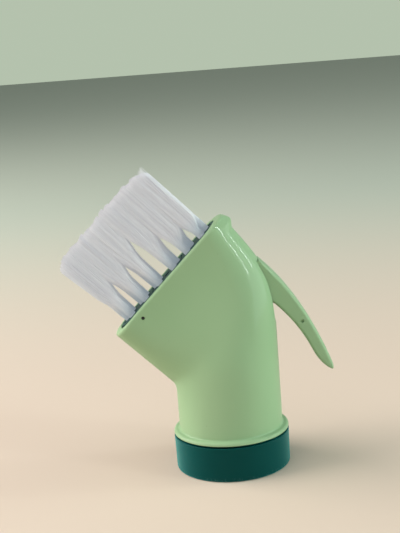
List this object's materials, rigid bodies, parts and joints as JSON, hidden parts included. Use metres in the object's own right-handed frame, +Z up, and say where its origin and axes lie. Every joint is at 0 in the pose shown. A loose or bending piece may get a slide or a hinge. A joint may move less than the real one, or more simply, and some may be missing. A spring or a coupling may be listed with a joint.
{
  "type": "crevice brush",
  "caption": "Elbow-shaped crevice brush that screws onto a drink bottle: a thumb lever opens a push valve and water runs out between the bristle tufts of its narrow slanted mouth.",
  "frame": {"origin": "on the collar's axis, in the plane of its foot, where the bottle neck enters", "axes": "+Z up the neck, -X the way the mouth leans, +X the side of the thumb lever, XZ the plane of symmetry"},
  "size_m": [0.1001, 0.044, 0.1165],
  "materials": {
    "green_shell": "satin pale green",
    "dark_teal": "gloss dark teal",
    "plate_teal": "satin dark teal",
    "white_acetal": "plain moulded",
    "clear_silicone": "milky soft",
    "black_rubber": "matte",
    "steel": "drawn wire",
    "bristle_nylon": "white-grey nylon",
    "anchor_brass": "stamped strip"
  },
  "bodies": {
    "head": {"elbow_body": "green_shell", "valve_carrier": "white_acetal", "valve_body": "white_acetal", "valve_cap": "dark_teal", "valve_spring": "steel", "inlet_hose": "clear_silicone", "outlet_hose": "clear_silicone", "brush_plate": "plate_teal", "plate_pin": "steel", "bristle_strip_lower": "bristle_nylon", "bristle_strip_middle": "bristle_nylon", "bristle_strip_upper": "bristle_nylon", "tuft_anchor_1": "anchor_brass", "tuft_anchor_2": "anchor_brass", "tuft_anchor_3": "anchor_brass", "tuft_anchor_4": "anchor_brass", "tuft_anchor_5": "anchor_brass", "tuft_anchor_6": "anchor_brass", "tuft_anchor_7": "anchor_brass", "tuft_anchor_8": "anchor_brass", "tuft_anchor_9": "anchor_brass", "tuft_anchor_10": "anchor_brass", "tuft_anchor_11": "anchor_brass", "tuft_anchor_12": "anchor_brass", "tuft_anchor_13": "anchor_brass", "tuft_anchor_14": "anchor_brass", "tuft_anchor_15": "anchor_brass", "tuft_anchor_16": "anchor_brass", "tuft_anchor_17": "anchor_brass", "tuft_anchor_18": "anchor_brass"},
    "collar": {"base_collar": "dark_teal", "bottle_seal": "clear_silicone"},
    "lever": {"trigger": "green_shell", "trigger_pin": "steel"},
    "plunger": {"valve_stem": "white_acetal", "poppet_seal": "black_rubber", "stem_oring": "black_rubber"}
  },
  "joints": [
    {"name": "collar_turn", "type": "hinge", "parent": "head", "child": "collar", "pos_m": [0, 0, 0], "axis": [0, 0, 1], "continuous": true},
    {"name": "trigger_press", "type": "hinge", "parent": "head", "child": "lever", "pos_m": [0.008, 0, 0.072], "axis": [0, 1, 0], "range_deg": [0, 12], "stiffness_Nm_per_rad": 0.8, "springref_deg": -8.59},
    {"name": "valve_slide", "type": "slide", "parent": "head", "child": "plunger", "axis": [-1, 0, 0], "range_m": [0, 0.003], "deforming": ["valve_spring"]}
  ],
  "couplings": [
    {"joint": "valve_slide", "follows": "trigger_press", "m_per_rad": 0.014}
  ]
}
